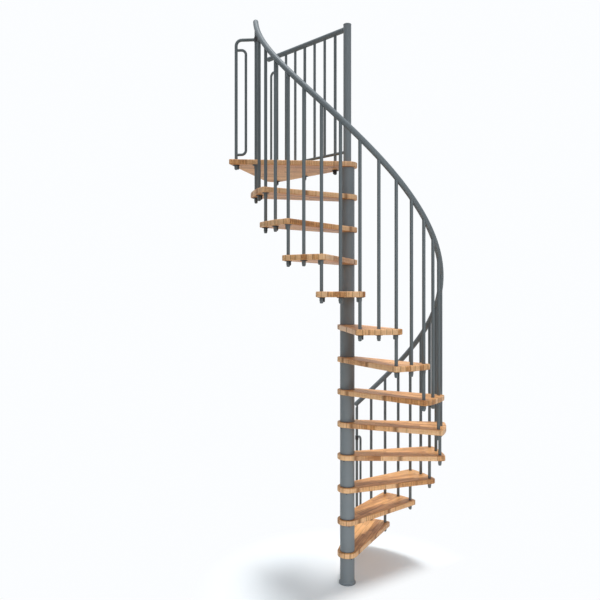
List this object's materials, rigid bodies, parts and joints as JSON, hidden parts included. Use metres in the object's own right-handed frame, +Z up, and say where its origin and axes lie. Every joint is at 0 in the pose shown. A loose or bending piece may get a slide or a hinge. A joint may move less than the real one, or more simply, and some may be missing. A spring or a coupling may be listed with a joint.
{
  "type": "spiral staircase",
  "caption": "Spiral staircase with timber treads on a round steel column, a helical handrail on vertical balusters, and a landing with a straight guard.",
  "frame": {"origin": "column axis at the underside of the floor flange, on the floor", "axes": "+Z up the column, +X to the right and +Y away from the viewer in the picture's view"},
  "size_m": [1.542, 1.4203, 4.056],
  "materials": {
    "column_paint": "satin",
    "tread_wood": "satin",
    "handrail_paint": "satin",
    "baluster_paint": "satin",
    "bracket_paint": "satin"
  },
  "bodies": {
    "root": {"base_flange": "column_paint", "centre_post": "column_paint", "post_cap": "column_paint", "column_sleeves": "column_paint", "tread_01": "tread_wood", "tread_02": "tread_wood", "tread_03": "tread_wood", "tread_04": "tread_wood", "tread_05": "tread_wood", "tread_06": "tread_wood", "tread_07": "tread_wood", "tread_08": "tread_wood", "tread_09": "tread_wood", "tread_10": "tread_wood", "tread_11": "tread_wood", "tread_12": "tread_wood", "landing_platform": "tread_wood", "handrail": "handrail_paint", "guard_top_rail": "handrail_paint", "start_post": "baluster_paint", "middle_balusters": "baluster_paint", "corner_balusters": "baluster_paint", "corner_ring_brackets": "baluster_paint", "start_loop": "baluster_paint", "guard_panel": "baluster_paint", "guard_loop": "baluster_paint", "exit_post": "baluster_paint", "exit_arm": "baluster_paint", "exit_loop": "baluster_paint", "start_bracket": "bracket_paint", "middle_brackets": "bracket_paint", "corner_foot_brackets": "bracket_paint", "start_clamps": "bracket_paint", "guard_brackets": "bracket_paint", "exit_clamp": "bracket_paint", "exit_bracket": "bracket_paint"}
  },
  "joints": []
}
